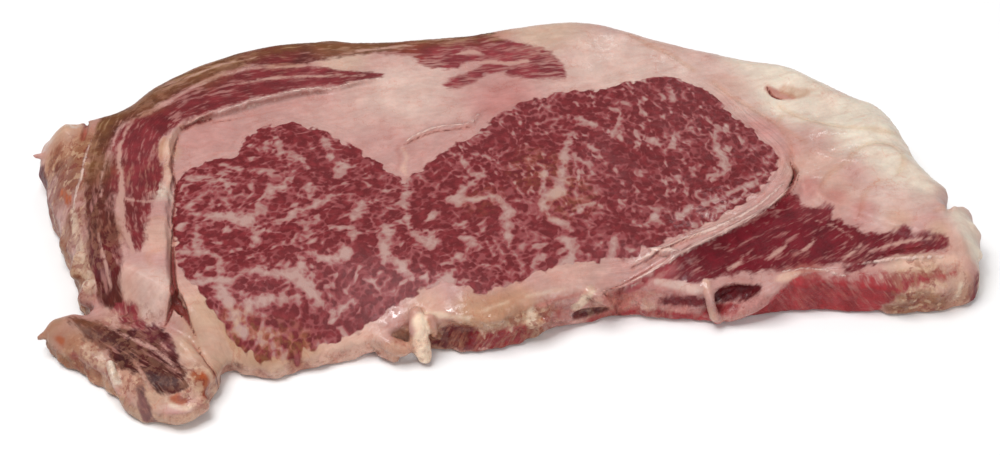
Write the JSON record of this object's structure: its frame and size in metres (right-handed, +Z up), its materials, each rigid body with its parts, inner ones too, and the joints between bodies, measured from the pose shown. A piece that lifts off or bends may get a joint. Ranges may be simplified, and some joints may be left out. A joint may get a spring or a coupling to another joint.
{
  "type": "raw entrecote steak",
  "caption": "Raw, densely marbled beef entrecote steak lying flat: eye of meat ringed with fat, a cap of meat along one side, rib meat and a short tail.",
  "frame": {"origin": "on the surface it lies on, under the middle of the steak's box", "axes": "+X along the steak from the tail end to the rib end, +Y to its back edge, +Z up through its thickness"},
  "size_m": [0.2836, 0.1634, 0.0232],
  "materials": {
    "fat": "raw beef fat, cream to pink, slightly translucent and damp",
    "lean": "raw marbled beef, crimson with fine pale pink fat through it, damp",
    "dark_lean": "raw beef, dark red with pale flecks along its fibres, wet",
    "aged_lean": "raw beef browned by air at the edge, mixed with fat, damp"
  },
  "bodies": {
    "root": {"fat_body": "fat", "eye_muscle": "lean", "cap_muscle": "lean", "outer_cap_muscle": "aged_lean", "top_muscle": "lean", "rib_muscle": "dark_lean", "tail_muscle": "aged_lean", "finger_muscle": "lean", "strip_muscle": "dark_lean"}
  },
  "joints": []
}
